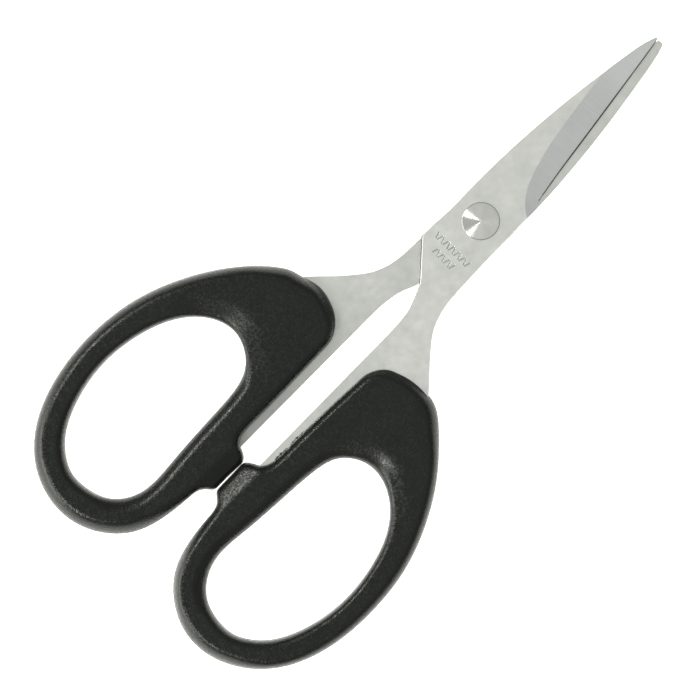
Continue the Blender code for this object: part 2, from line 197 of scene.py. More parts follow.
# ---------------------------------------------------------------- materials
def nodes_of(name):
    m = bpy.data.materials.new(name)
    m.use_nodes = True
    tree = m.node_tree
    return m, tree, tree.nodes["Principled BSDF"]


def add(tree, kind, at=(0, 0), **values):
    node = tree.nodes.new(kind)
    node.location = at
    for key, value in values.items():
        setattr(node, key, value)
    return node


def object_mm(tree, scale=(1, 1, 1), turn=0.0):
    """Object coordinates in millimetres, stretched by scale and turned about Z."""
    coords = add(tree, "ShaderNodeTexCoord", (-1300, 0))
    mapping = add(tree, "ShaderNodeMapping", (-1100, 0))
    mapping.inputs["Scale"].default_value = [s / MM for s in scale]
    if turn:
        rotate = add(tree, "ShaderNodeMapping", (-1200, 200))
        rotate.inputs["Rotation"].default_value = (0, 0, turn)
        tree.links.new(coords.outputs["Object"], rotate.inputs["Vector"])
        tree.links.new(rotate.outputs["Vector"], mapping.inputs["Vector"])
    else:
        tree.links.new(coords.outputs["Object"], mapping.inputs["Vector"])
    return mapping.outputs["Vector"]


def noise(tree, vector, scale, detail=2.0, roughness=0.5):
    node = add(tree, "ShaderNodeTexNoise", (-900, 0))
    node.inputs["Scale"].default_value = scale
    node.inputs["Detail"].default_value = detail
    node.inputs["Roughness"].default_value = roughness
    tree.links.new(vector, node.inputs["Vector"])
    return node.outputs["Fac"]


def spread(tree, value, lo, hi, to_lo, to_hi):
    node = add(tree, "ShaderNodeMapRange", (-700, 0))
    node.inputs["From Min"].default_value = lo
    node.inputs["From Max"].default_value = hi
    node.inputs["To Min"].default_value = to_lo
    node.inputs["To Max"].default_value = to_hi
    tree.links.new(value, node.inputs["Value"])
    return node.outputs["Result"]


def blend_colour(tree, factor, a, b):
    node = add(tree, "ShaderNodeMix", (-500, 0), data_type="RGBA")
    node.inputs["A"].default_value = (*a, 1)
    node.inputs["B"].default_value = (*b, 1)
    tree.links.new(factor, node.inputs["Factor"])
    return node.outputs["Result"]


def bump(tree, height, distance, strength=1.0, under=None):
    node = add(tree, "ShaderNodeBump", (-300, -300))
    node.inputs["Strength"].default_value = strength
    node.inputs["Distance"].default_value = distance * MM
    tree.links.new(height, node.inputs["Height"])
    if under:
        tree.links.new(under, node.inputs["Normal"])
    return node.outputs["Normal"]


def black_plastic():
    m, t, s = nodes_of("black_grained_plastic")
    at = object_mm(t)
    cloud = noise(t, at, 0.18, 3)
    s_colour = blend_colour(t, spread(t, cloud, 0.35, 0.65, 0, 1), (0.0042, 0.0052, 0.0046), (0.0056, 0.0066, 0.0056))
    t.links.new(s_colour, s.inputs["Base Color"])
    grain = noise(t, at, 1.9, 3, 0.62)
    gloss = noise(t, at, 1.5, 2, 0.6)
    t.links.new(spread(t, gloss, 0.42, 0.6, 0.16, 0.36), s.inputs["Roughness"])
    s.inputs["Specular IOR Level"].default_value = 0.22
    s.inputs["Specular Tint"].default_value = (1.0, 1.0, 0.91, 1)
    s.inputs["Sheen Weight"].default_value = 0.06
    s.inputs["Sheen Roughness"].default_value = 0.35
    s.inputs["Sheen Tint"].default_value = (1.0, 0.99, 0.9, 1)
    t.links.new(bump(t, grain, 0.1, 0.9), s.inputs["Normal"])
    return m


def satin_steel(name, painted_shade_tone, painted_shade_end, painted_shade_by):
    """Rolled and tumbled stainless. Its colour is scaled by the tone, a painted shade where that is below 1; towards
    the far end of the tang it is darkened further by the share given, fully by the mm given back, a painted shade where
    the handle shades the tang.
    """
    m, t, s = nodes_of(name)
    at = object_mm(t)
    cloud = noise(t, at, 0.17, 4, 0.6)
    low, high = (0.615, 0.63, 0.584), (0.698, 0.713, 0.662)
    colour = blend_colour(t, spread(t, cloud, 0.32, 0.68, 0, 1), tuple(c * painted_shade_tone for c in low), tuple(c * painted_shade_tone for c in high))
    # painted shade: the colour is darkened along the tang towards its far end, where the handle shades it
    if painted_shade_end:
        split = add(t, "ShaderNodeSeparateXYZ", (-900, -600))
        t.links.new(at, split.inputs["Vector"])
        along = spread(t, split.outputs["X"], PX - 34.0, PX - painted_shade_by, 0, painted_shade_end)
        node = add(t, "ShaderNodeMix", (-300, 300), data_type="RGBA")
        node.inputs["B"].default_value = (0.0, 0.0, 0.0, 1)
        t.links.new(along, node.inputs["Factor"])
        t.links.new(colour, node.inputs["A"])
        colour = node.outputs["Result"]
    t.links.new(colour, s.inputs["Base Color"])
    s.inputs["Metallic"].default_value = 1.0
    t.links.new(spread(t, noise(t, at, 0.5, 5, 0.6), 0.3, 0.7, 0.26, 0.36), s.inputs["Roughness"])
    lengthwise = noise(t, object_mm(t, (0.25, 6.0, 1.0)), 1.0, 3, 0.6)
    pits = noise(t, at, 2.4, 3, 0.6)
    first = bump(t, lengthwise, 0.003, 0.7)
    t.links.new(bump(t, pits, 0.006, 0.6, first), s.inputs["Normal"])
    return m


def plain_steel(name, low, high, roughness):
    m, t, s = nodes_of(name)
    n = noise(t, object_mm(t, (1.2, 1.2, 3.0)), 1.0, 3)
    t.links.new(blend_colour(t, spread(t, n, 0.3, 0.7, 0, 1), low, high), s.inputs["Base Color"])
    s.inputs["Metallic"].default_value = 1.0
    s.inputs["Roughness"].default_value = roughness
    return m


def ground_steel():
    """The ground face: fine wheel marks run across it, and its colour is lightened towards the tip, a painted
    highlight.
    """
    m, t, s = nodes_of("ground_bevel_steel")
    at = object_mm(t)
    marks = noise(t, object_mm(t, (2.2, 0.1, 0.1), math.radians(-8)), 1.0, 2, 0.55)
    cloud = noise(t, at, 0.2, 3)
    both = add(t, "ShaderNodeMath", (-600, 200), operation="ADD")
    t.links.new(spread(t, marks, 0.3, 0.7, 0, 0.6), both.inputs[0])
    t.links.new(spread(t, cloud, 0.3, 0.7, 0, 0.4), both.inputs[1])
    colour = blend_colour(t, both.outputs["Value"], (0.635, 0.66, 0.64), (0.715, 0.735, 0.715))
    split = add(t, "ShaderNodeSeparateXYZ", (-900, -600))
    t.links.new(at, split.inputs["Vector"])
    # painted highlight: the colour is mixed towards near-white towards the tip
    painted_tip_highlight = add(t, "ShaderNodeMix", (-300, 300), data_type="RGBA")
    painted_tip_highlight.inputs["B"].default_value = (1.0, 1.0, 0.95, 1)
    t.links.new(spread(t, split.outputs["X"], PX + 40.0, PX + 47.0, 0, 0.22), painted_tip_highlight.inputs["Factor"])
    t.links.new(colour, painted_tip_highlight.inputs["A"])
    t.links.new(painted_tip_highlight.outputs["Result"], s.inputs["Base Color"])
    s.inputs["Metallic"].default_value = 1.0
    s.inputs["Roughness"].default_value = 0.3
    t.links.new(bump(t, marks, 0.02, 0.9), s.inputs["Normal"])
    return m


def turned_steel(name, base, roughness, anisotropic):
    """Faint rings round the rivet's axis, as a lathe leaves them."""
    m, t, s = nodes_of(name)
    coords = add(t, "ShaderNodeTexCoord", (-1500, 0))
    shift = add(t, "ShaderNodeMapping", (-1300, 0))
    shift.inputs["Location"].default_value = (-PX, 0, 0)
    shift.inputs["Scale"].default_value = (1 / MM, 1 / MM, 0)
    t.links.new(coords.outputs["Object"], shift.inputs["Vector"])
    rings = add(t, "ShaderNodeTexWave", (-1000, -200), wave_type="RINGS", rings_direction="Z", wave_profile="SIN")
    rings.inputs["Scale"].default_value = 1.1
    rings.inputs["Distortion"].default_value = 0.4
    rings.inputs["Detail"].default_value = 2.0
    t.links.new(shift.outputs["Vector"], rings.inputs["Vector"])
    cloud = noise(t, shift.outputs["Vector"], 0.5, 3)
    t.links.new(blend_colour(t, spread(t, cloud, 0.3, 0.7, 0, 1), base, tuple(c * 1.06 for c in base)), s.inputs["Base Color"])
    s.inputs["Metallic"].default_value = 1.0
    s.inputs["Roughness"].default_value = roughness
    s.inputs["Anisotropic"].default_value = anisotropic
    s.inputs["Anisotropic Rotation"].default_value = 0.25
    t.links.new(bump(t, rings.outputs["Fac"], 0.004, 0.5), s.inputs["Normal"])
    if anisotropic:
        tangent = add(t, "ShaderNodeTangent", (-600, -500), direction_type="RADIAL", axis="Z")
        t.links.new(tangent.outputs["Tangent"], s.inputs["Tangent"])
    return m


PLASTIC, GROUND = black_plastic(), ground_steel()
# the lower blade's colour is scaled down to 0.91 and darkened further along its tang: painted shade
FRONT_STEEL, BACK_STEEL = satin_steel("satin_stainless", 1.0, 0.12, 47.0), satin_steel("satin_stainless_shaded_back", 0.91, 0.43, 76.0)
# the whetted facet is coloured near black: a painted shade for the gap under the cutting edge
EDGE_PAINTED_SHADE = plain_steel("whetted_edge_painted_shade", (0.05, 0.052, 0.05), (0.12, 0.122, 0.118), 0.45)
# the sheared walls are coloured near black: a painted shade along the blades' edges
SHEARED_WALL_PAINTED_SHADE = plain_steel("sheared_wall_painted_shade", (0.05, 0.05, 0.048), (0.12, 0.12, 0.116), 0.4)
# the stamped strokes' floors are coloured darker: a painted shade in the grooves
STAMPED_MARK_PAINTED_SHADE = plain_steel("stamped_mark_painted_shade", (0.38, 0.39, 0.38), (0.5, 0.51, 0.49), 0.45)
# the rivet head's foot ring is coloured dark grey: a painted shade where the head meets the blade
RIVET_FOOT_PAINTED_SHADE = plain_steel("rivet_foot_painted_shade", (0.2, 0.2, 0.19), (0.32, 0.32, 0.3), 0.5)
RIVET_STEEL = turned_steel("turned_rivet_steel", (0.69, 0.7, 0.655), 0.2, 0.8)
WASHER_STEEL = turned_steel("washer_steel", (0.58, 0.59, 0.57), 0.38, 0.0)


# ---------------------------------------------------------------- meshes
def from_bmesh(name, bm, mats, sharp=30):
    mesh = bpy.data.meshes.new(name)
    bm.to_mesh(mesh)
    bm.free()
    obj = bpy.data.objects.new(name, mesh)
    bpy.context.scene.collection.objects.link(obj)
    for m in mats:
        mesh.materials.append(m)
    mesh.shade_smooth()
    mesh.set_sharp_from_angle(angle=math.radians(sharp))
    return obj


def plate_bm(layers):
    """A solid from stacked closed loops (outline, z), lowest first, capped top and bottom."""
    bm = bmesh.new()
    rows = [[bm.verts.new((x, y, z)) for x, y in outline] for outline, z in layers]
    n = len(rows[0])
    for low, high in zip(rows, rows[1:]):
        for k in range(n):
            bm.faces.new((low[k], low[(k + 1) % n], high[(k + 1) % n], high[k]))
    bm.faces.new(rows[0])
    bm.faces.new(rows[-1])
    bmesh.ops.recalc_face_normals(bm, faces=bm.faces)
    return bm


def loft_bm(sections, ring=False):
    bm = bmesh.new()
    rows = [[bm.verts.new(p) for p in section] for section in sections]
    n = len(sections[0])
    for i in range(len(rows) if ring else len(rows) - 1):
        a, b = rows[i], rows[(i + 1) % len(rows)]
        for k in range(n):
            bm.faces.new((a[k], a[(k + 1) % n], b[(k + 1) % n], b[k]))
    if not ring:
        bm.faces.new(rows[0])
        bm.faces.new(rows[-1])
    bmesh.ops.recalc_face_normals(bm, faces=bm.faces)
    return bm


def cut(obj, *cutters):
    """Boolean differences, applied."""
    for c in cutters:
        m = obj.modifiers.new("cut", "BOOLEAN")
        m.operation, m.solver, m.object = "DIFFERENCE", "EXACT", c
    bpy.context.view_layer.update()
    graph = bpy.context.evaluated_depsgraph_get()
    mesh = bpy.data.meshes.new_from_object(obj.evaluated_get(graph), depsgraph=graph)
    obj.modifiers.clear()
    old = obj.data
    obj.data = mesh
    bpy.data.meshes.remove(old)
    for c in cutters:
        bpy.data.objects.remove(c)


def to_row(obj, turned_over=False):
    """From the drawing's frame (mm, on the pivot) to the row's (m), in the mesh itself."""
    turn = Matrix.Rotation(math.pi, 4, "X") if turned_over else Matrix.Identity(4)
    obj.data.transform(Matrix.Translation(PIVOT) @ turn @ Matrix.Scale(MM, 4))
    obj.data.update()


# ---------------------------------------------------------------- blades
def blade_outline(tip, edge):
    back = open_spline([*(BACK if len(tip) == 2 else BLUNT_BACK), SHOULDER], 1.0)
    end = FRONT_END if len(tip) == 2 else BACK_END
    inside = open_spline([CROTCH, *(FRONT_INSIDE if len(tip) == 2 else BACK_INSIDE)], 0.5)
    outside = open_spline([end[-1], *(FRONT_OUTSIDE if len(tip) == 2 else BACK_OUTSIDE), HEEL], 0.8)
    if len(tip) > 2:
        tip = open_spline(tip, 0.15)
    line = open_spline([*edge, tip[0]], 1.0)[:-1]
    return [*tip, *back, *inside, *end[:-1], *outside, *line]


def grind_cutter(z1):
    slope = math.tan(GRIND_ANGLE)
    sections = []
    for u, v in open_spline(GRIND_TOP, 0.7):
        sections.append([(u, v + 3, z1 + 3 * slope), (u, v - 14, z1 - 14 * slope), (u, v - 14, z1 + 4), (u, v + 3, z1 + 4)])
    return from_bmesh("grind_cutter", loft_bm(sections), [])


def stock_left(u, v):
    """What the grind leaves of the stock at the plan point."""
    top = np.array(open_spline(GRIND_TOP, 0.7))
    deep = np.interp(u, top[:, 0], top[:, 1]) - v
    return STOCK - max(0.0, deep) * math.tan(GRIND_ANGLE)


def edge_cutter(z0, tip, cutting_edge):
    """The whetted facet: a narrow one, about as wide all along, fading out before the heel."""
    (u, v), (end_u, end_v) = cutting_edge[-1], tip[0]
    past = (end_u + 2.0, end_v + 2.0 * (end_v - v) / (end_u - u))
    line = [q for q in open_spline([HEEL, *cutting_edge, tip[0], past], 0.8) if q[0] > 12.2]
    sections = []
    for u, v in line:
        width = 0.02 + 0.2 * float(ramp(12.0, 16.0, u)) * (1 - 0.2 * float(ramp(57.0, 60.0, u)) - 0.25 * math.exp(-(((u - 34.0) / 9.0) ** 2)))
        low = z0 + EDGE_LAND
        rise = max(0.3, (stock_left(u, v) - EDGE_LAND) / width)
        sections.append([(u, v - 0.9, low - 0.9 * rise), (u, v + 0.6, low + 0.6 * rise), (u, v - 0.9, low + 0.6 * rise)])
    return from_bmesh("edge_cutter", loft_bm(sections), [])


def stamped_ticks(z1):
    """A plain stamped mark behind the rivet: two rows of leaning strokes, which say nothing."""
    bm = bmesh.new()
    for u, half_row, count in ((-9.5, 5.0, 12), (-12.45, 2.75, 7)):
        for k in range(count):
            v = half_row * (2 * k / (count - 1) - 1)
            lean = math.radians(17 if k % 2 else -17)
            rows = []
            for half, z in ((0.03, z1 - 0.12), (0.17, z1), (0.17, z1 + 0.4)):
                row = []
                for s, start in ((1, -90), (-1, 90)):
                    for i in range(7):
                        a = math.radians(start + 30 * i)
                        x, y = s * 0.74 + half * math.cos(a), half * math.sin(a)
                        row.append(bm.verts.new((u + x * math.cos(lean) - y * math.sin(lean), v + x * math.sin(lean) + y * math.cos(lean), z)))
                rows.append(row)
            n = len(rows[0])
            for low, high in zip(rows, rows[1:]):
                for i in range(n):
                    bm.faces.new((low[i], low[(i + 1) % n], high[(i + 1) % n], high[i]))
            bm.faces.new(rows[0])
            bm.faces.new(rows[-1])
    bmesh.ops.recalc_face_normals(bm, faces=bm.faces)
    return from_bmesh("ticks", bm, [])


def disc_cutter(r, z0, z1, steps=96):
    circle = [(r * math.cos(2 * math.pi * i / steps), r * math.sin(2 * math.pi * i / steps)) for i in range(steps)]
    return from_bmesh("bore", plate_bm([(circle, z0), (circle, z1)]), [])


def make_blade(name, tip, cutting_edge, marked, steel):
    z0 = GAP / 2
    z1 = z0 + STOCK
    c = 0.06
    outline = np.array(blade_outline(tip, cutting_edge))
    small = offset(outline, -c)
    # below the smooth band the sheared wall stands out a little; along the slanted rear edge both bands are broader
    torn = offset(outline, 0.04)
    across = np.array([CROTCH[1] - SHOULDER[1], SHOULDER[0] - CROTCH[0]]) / math.dist(SHOULDER, CROTCH)
    for end in (SHOULDER, CROTCH):
        k = int(np.argmin(((outline - end) ** 2).sum(1)))
        torn[k] = outline[k] + across * 0.08
        small[k] = outline[k] - across * 0.35
        outline[k] = outline[k] - across * 0.26
    # the shears' blow leaves a small burr under the edge ahead of the heel
    for k, (u, v) in enumerate(outline):
        if v < -6.5 and -7.0 < u < 9.0:
            torn[k][1] -= 0.1 * float(ramp(-6.0, 1.0, u))
    layers = [(offset(torn, -0.05), z0), (torn, z0 + 0.05), (torn, z0 + 0.8), (outline, z1 - 0.35), (outline, z1 - 0.12), (small, z1)]
    blade = from_bmesh(name, plate_bm(layers), [steel, GROUND, EDGE_PAINTED_SHADE, SHEARED_WALL_PAINTED_SHADE, STAMPED_MARK_PAINTED_SHADE])
    cutters = [disc_cutter(SHANK_R + 0.1, z0 - 1, z1 + 1), grind_cutter(z1), edge_cutter(z0, tip, cutting_edge)]
    if marked:
        cutters.append(stamped_ticks(z1))
    cut(blade, *cutters)
    line = np.array(open_spline([HEEL, *cutting_edge, tip[0]], 0.8))
    for p in blade.data.polygons:
        n, at = p.normal, p.center
        edge_v = float(np.interp(at.x, line[:, 0], line[:, 1]))
        # faces along the cutting edge take the near-black facet colour, a painted shade
        if at.x > 12.2 and at.z > z0 + 0.05 and at.y - edge_v < 0.35 and n.y < -0.25 and n.z < 0.96:
            p.material_index = 2
        elif at.x > 6 and 0.9 < n.z < 0.995 and at.z > z0 + 0.02:
            p.material_index = 1
        # steep walls take the near-black wall colour, a painted shade
        elif abs(n.z) < (0.35 if at.z > z1 - 0.3 else 0.62):
            p.material_index = 3
        # the strokes' floors take the darker mark colour, a painted shade
        elif marked and z1 - 0.125 < at.z < z1 - 0.01 and -14 < at.x < -8 and abs(at.y) < 5.7 and n.z > 0.3:
            p.material_index = 4
    blade.data.shade_smooth()
    blade.data.set_sharp_from_angle(angle=math.radians(7))
    return blade


# ---------------------------------------------------------------- handles
def corner(t, n):
    """Drop of a rounded corner, from 1 at its rim to 0 where it meets the flat."""
    t = np.clip(t, 0, 1)
    return 1 - (1 - (1 - t) ** n) ** (1 / n)


def handle_form(p, do, di, side):
    """Height above the middle plane at plan points p, do from the outside and di from the finger hole."""
    u, v = p[:, 0], p[:, 1]
    far = ramp(-92, -108, u)
    front = ramp(-52, -42, u)
    bow = ramp(9, 28, v) * (1 - front) * (1 - far)
    front = front * (1 - bow) * ramp(7, 12, v)
    rest = 1 - far - front - bow
    pad = ramp(-93.0, -91.4, u) * ramp(-77.8, -79.4, u) * (1 - ramp(3.0, 6.0, v))
    low_far = ramp(30, 40, v) * (0.85 if side < 0 else 0.45)
    far_ro, far_ho, far_no = (2.6 if side < 0 else 2.8) - 0.9 * low_far, 3.95 - 0.6 * low_far, 1.35 + 0.4 * low_far
    far_ro = far_ro - 0.6 * ramp(21, 12, v) * (1 if side < 0 else 0)
    ro = far_ro * far + 2.6 * front + (2.1 if side < 0 else 2.7) * bow + 1.7 * rest
    ho = far_ho * far + 3.6 * front + (3.4 if side < 0 else 3.85) * bow + 2.0 * rest
    no = far_no * far + 1.55 * front + 1.75 * bow + 1.6 * rest
    ro, ho, no = (a * (1 - pad) + b * pad for a, b in ((ro, 1.35), (ho, 2.45), (no, 1.8)))
    shoulder = ramp(-67, -61, u)
    bar = ramp(20, 14, v) * (1 - shoulder)
    ri = 1.5 + 1.3 * bar + 0.45 * far - (0.35 * shoulder if side > 0 else 0)
    hi = 2.6 + 0.5 * bar + 0.25 * far - 0.7 * shoulder
    ni = 2.0 - 0.2 * bar + (0.6 * shoulder if side > 0 else 0)
    z = HALF - ho * corner(do / ro, no) - hi * corner(di / ri, ni)
    # the thumb's and fingers' scoop: an even slope into the hole at its blade end
    pitch, reach = (0.385, 4.6) if side < 0 else (0.205, 5.6)
    least, middle, half = (0.36, 24.3, 4.1) if side < 0 else (0.55, 23.5, 6.0)
    pitch *= least + (1 - least) * np.exp(-(((v - middle) / half) ** 2))
    z -= shoulder * pitch * 0.28 * np.log1p(np.exp(np.clip((reach - di) / 0.28, -40, 40)))
    if side < 0:  # steeper again next to the hole
        z -= shoulder * pitch * 0.45 * 0.2 * np.log1p(np.exp(np.clip((2.1 - di) / 0.2, -40, 40)))
    # a slight crown across the bow and the bar
    z -= 0.14 * np.exp(-do / 1.6) + 0.1 * np.exp(-di / 1.4)
    # the stop pad's top slopes down to its face
    across = ramp(-94.0, -90.6, u) * ramp(-77.6, -80.4, u)
    slope = np.clip((4.9 - v) / 3.4, 0, 1)
    soft = np.where(slope < 0.25, slope**2 * 2, slope - 0.125) / 0.875
    z -= 1.27 * across * soft
    return np.maximum(z, 0.16)


# where the mould left ragged flash on the right handle, beside its tang: along u, and how far it stands out
BURRS = [(-65.6, 0.2), (-67.3, 0.42), (-68.6, 0.26), (-71.2, 0.2), (-72.6, 0.46), (-73.8, 0.36)]


# how each moulding departs from the shared outline: (side, hole) -> all round, then local swells (u, v, reach, mm)
MOULDED = {
    (1, False): (0.2, [
        (-112.0, 37.0, 9.0, 0.44), (-117.0, 16.0, 6.0, 0.2), (-50.0, 33.0, 13.0, -0.17), (-39.0, 21.5, 3.5, -0.8), (-65.0, 43.0, 8.0, -0.1),
        (-58.0, 5.3, 13.0, 0.26), (-46.0, 6.0, 4.0, 0.25), (-87.0, 0.5, 5.0, -0.1), (-79.5, 1.3, 2.0, 0.2),
    ]),
    (1, True): (0.08, [(-70.0, 37.0, 9.0, 0.22), (-99.5, 11.5, 5.0, 0.16), (-72.0, 13.3, 7.0, -0.2), (-60.5, 19.0, 3.0, 0.14), (-108.0, 31.0, 6.0, -0.08)]),
    (-1, False): (0.08, [
        (-116.0, 17.0, 7.0, 0.32), (-108.0, 41.0, 8.0, 0.16), (-46.0, 5.8, 6.0, -0.26), (-90.0, 1.5, 6.0, -0.15), (-39.0, 22.5, 6.0, 0.28),
        (-85.0, 46.8, 7.0, -0.1),
    ]),
    (-1, True): (-0.05, [(-109.0, 20.0, 8.0, -0.34), (-72.0, 13.2, 9.0, 0.26), (-60.0, 21.5, 4.0, 0.22), (-67.0, 35.3, 4.0, -0.08)]),
}


def moulded(points, side, hole):
    """The outline's points, moved out into the open by what that moulding has there."""
    p = np.array(points, float)
    along = np.roll(p, -1, axis=0) - np.roll(p, 1, axis=0)
    n = np.stack([along[:, 1], -along[:, 0]], 1) / np.linalg.norm(along, axis=1)[:, None]
    x, y = p[:, 0], p[:, 1]
    turn = 1 if (x * np.roll(y, -1) - y * np.roll(x, -1)).sum() > 0 else -1
    everywhere, swells = MOULDED[side, hole]
    by = np.full(len(p), everywhere)
    for u, v, reach, height in swells:
        by += height * np.exp(-((x - u) ** 2 + (y - v) ** 2) / reach**2)
    return p + n * (by * turn * (-1 if hole else 1))[:, None]


def handle_sections(side):
    outer, inner = periodic_spline(moulded(OUTER, side, False), 0.55), periodic_spline(moulded(INNER, side, True), 0.5)
    sections = []
    angles = [math.radians(a) for a in (4, 12, 20, 29, 38, 48, 58, 68, 79, 90)]
    shares_out = [1 - math.cos(a) for a in angles]
    for o in outer:
        base = np.array([min(max(o[0], -98.0), -74.0), 25.5])
        d = (o - base) / np.linalg.norm(o - base)
        i = base + d * ray_hit(inner, base, d)
        length = float(np.linalg.norm(o - i))
        along = np.linspace(0, length, 240)
        points = o - d * along[:, None]
        sections.append((o, i, d, length, along, points))
    every = np.vstack([s[5] for s in sections])
    do_all, di_all = nearest(every, outer), nearest(every, inner)
    rows = []
    for k, (o, i, d, length, along, points) in enumerate(sections):
        do, di = do_all[k * 240 : (k + 1) * 240], di_all[k * 240 : (k + 1) * 240]
        do, di = np.maximum.accumulate(do), np.maximum.accumulate(di[::-1])[::-1]
        u, v = o
        inward = 2.2 + 1.0 * float(ramp(22, 14, i[1]))
        inward += (6.1 - inward) * float(ramp(-73, -62, i[0]))
        reach_out, reach_in = min(2.9, 0.42 * length), min(inward, 0.46 * length)
        out_at = [float(np.interp(reach_out * s, do, along)) for s in shares_out]
        in_at = [float(np.interp(reach_in * s, di[::-1], along[::-1])) for s in reversed(shares_out)]
        last, first = out_at[-1], in_at[0]
        middle = [last + (first - last) * j / 7 for j in range(1, 7)] if first > last else []
        if not middle:
            half = length / 2
            out_at = [min(x, half - 0.01 * (10 - j)) for j, x in enumerate(out_at)]
            in_at = [max(x, half + 0.01 * (j + 1)) for j, x in enumerate(in_at)]
            middle = [half + 0.001 * (j - 3) for j in range(1, 7)]
        at = np.array([0.0, *out_at, *middle, *in_at, length])
        rows.append((o, i, d, at))
    flat = np.vstack([o - d * at[:, None] for o, i, d, at in rows])
    z = handle_form(flat, nearest(flat, outer), nearest(flat, inner), side)
    out = []
    m = len(rows[0][3])
    flash = 0.05
    for k, (o, i, d, at) in enumerate(rows):
        top = [(x, side * y, h) for (x, y), h in zip(flat[k * m : (k + 1) * m], z[k * m : (k + 1) * m])]
        # walls: a small flash line stands out at the parting plane, all round the outside and the hole
        wall_o = [(top[0][0], top[0][1], 0.07 + (top[0][2] - 0.07) * f) for f in (0.8, 0.5, 0.25, 0)]
        ridge_o = (o[0] + d[0] * flash, side * (o[1] + d[1] * flash), 0.0)
        wall_i = [(top[-1][0], top[-1][1], 0.07 + (top[-1][2] - 0.07) * f) for f in (0.8, 0.5, 0.25, 0)]
        ridge_i = (i[0] - d[0] * flash, side * (i[1] - d[1] * flash), 0.0)
        if side < 0 and o[1] < 7 and -76 < o[0] < -60:
            out_by = sum(h * math.exp(-(((o[0] - at_u) / 0.4) ** 2)) for at_u, h in BURRS)
            top[0] = (top[0][0] + d[0] * out_by, top[0][1] + side * d[1] * out_by, top[0][2])
        upper = [*reversed(wall_o), *top, *wall_i]
        lower = [(x, y, -h) for x, y, h in reversed(upper)]
        out.append([ridge_o, *upper, ridge_i, *lower])
    return out


def make_handle(name, side):
    handle = from_bmesh(name, loft_bm(handle_sections(side), ring=True), [PLASTIC], 50)
    # the slot that the tang sits in
    over = 0.1
    end = FRONT_END if side < 0 else BACK_END
    outside = open_spline([end[-1], *(FRONT_OUTSIDE if side < 0 else BACK_OUTSIDE)[:10]], 0.8)
    outline = [*outside, (-29.0, -2.0), (-78.4, -2.0), *end[:-1]]
    grown = offset([(u, -v) for u, v in outline], over)
    low, high = GAP / 2 - 0.02, GAP / 2 + STOCK + 0.02
    if side > 0:
        low, high = -high, -low
    slot = from_bmesh("slot", plate_bm([([(u, side * v) for u, v in grown], low), ([(u, side * v) for u, v in grown], high)]), [])
    cut(handle, slot)
    handle.data.shade_smooth()
    handle.data.set_sharp_from_angle(angle=math.radians(38))
    return handle


# ---------------------------------------------------------------- rivet
def lathe(name, profile, mat, steps=144, sharp=25):
    """Turned about the rivet's axis; the profile is (radius, height) from the top down, closed on the axis or on itself."""
    closed = profile[0] == profile[-1]
    points = profile[:-1] if closed else profile
    bm = bmesh.new()
    rings = []
    for r, z in points:
        if r < 1e-9:
            rings.append([bm.verts.new((0, 0, z))])
        else:
            rings.append([bm.verts.new((r * math.cos(2 * math.pi * k / steps), r * math.sin(2 * math.pi * k / steps), z)) for k in range(steps)])
    for a, b in zip(rings, rings[1:] + rings[:1] if closed else rings[1:]):
        for k in range(steps):
            j = (k + 1) % steps
            if len(a) == 1:
                bm.faces.new((a[0], b[k], b[j]))
            elif len(b) == 1:
                bm.faces.new((a[k], b[0], a[j]))
            else:
                bm.faces.new((a[k], b[k], b[j], a[j]))
    bmesh.ops.recalc_face_normals(bm, faces=bm.faces)
    return from_bmesh(name, bm, [mat], sharp)


def make_rivet():
    top = GAP / 2 + STOCK + 0.03
    tail = -(GAP / 2 + STOCK + 0.55)
    rim, rise = 0.3, 0.86
    cone = [(0, top + rim + rise), (0.12, top + rim + rise - 0.012)]
    for k in range(1, 17):
        r = 0.12 + (HEAD_R - 0.27) * k / 16
        cone.append((r, top + rim + rise * (1 - ((r - 0.03) / (HEAD_R - 0.16)) ** 1.06)))
    profile = [
        *cone, (HEAD_R - 0.08, top + rim - 0.02), (HEAD_R - 0.045, top + rim - 0.07), (HEAD_R - 0.035, top + rim - 0.14),
        (HEAD_R + 0.06, top + 0.04), (HEAD_R + 0.06, top), (SHANK_R, top), (SHANK_R, tail),
        (2.75, tail), (3.0, tail - 0.1), (3.08, tail - 0.28), (2.95, tail - 0.5), (2.55, tail - 0.7), (1.95, tail - 0.8),
        (1.4, tail - 0.74), (0.85, tail - 0.6), (0.4, tail - 0.53), (0, tail - 0.51),
    ]
    rivet = lathe("turned_rivet", profile, RIVET_STEEL)
    rivet.data.materials.append(RIVET_FOOT_PAINTED_SHADE)
    # the foot ring round the head takes the dark colour, a painted shade
    for p in rivet.data.polygons:
        if math.hypot(p.center.x, p.center.y) > HEAD_R - 0.09 and p.center.z > top - 0.01:
            p.material_index = 1
    return rivet


def make_washer():
    top, low = -(GAP / 2 + STOCK + 0.03), -(GAP / 2 + STOCK + 0.53)
    profile = [
        (SHANK_R + 0.05, top), (3.85, top), (3.95, top - 0.03), (4.0, top - 0.1), (4.0, low + 0.14), (3.95, low + 0.05),
        (3.84, low), (SHANK_R + 0.05, low), (SHANK_R + 0.05, top),
    ]
    return lathe("stamped_washer", profile, WASHER_STEEL)


# ---------------------------------------------------------------- build
front = make_blade("pointed_front_blade", POINTED_TIP, POINTED_EDGE, True, FRONT_STEEL)
back = make_blade("rounded_back_blade", BLUNT_TIP, BLUNT_EDGE, False, BACK_STEEL)
right = make_handle("right_finger_loop", -1)
left = make_handle("left_finger_loop", 1)
rivet, washer = make_rivet(), make_washer()
for piece in (front, right, left, rivet, washer):
    to_row(piece)
to_row(back, turned_over=True)

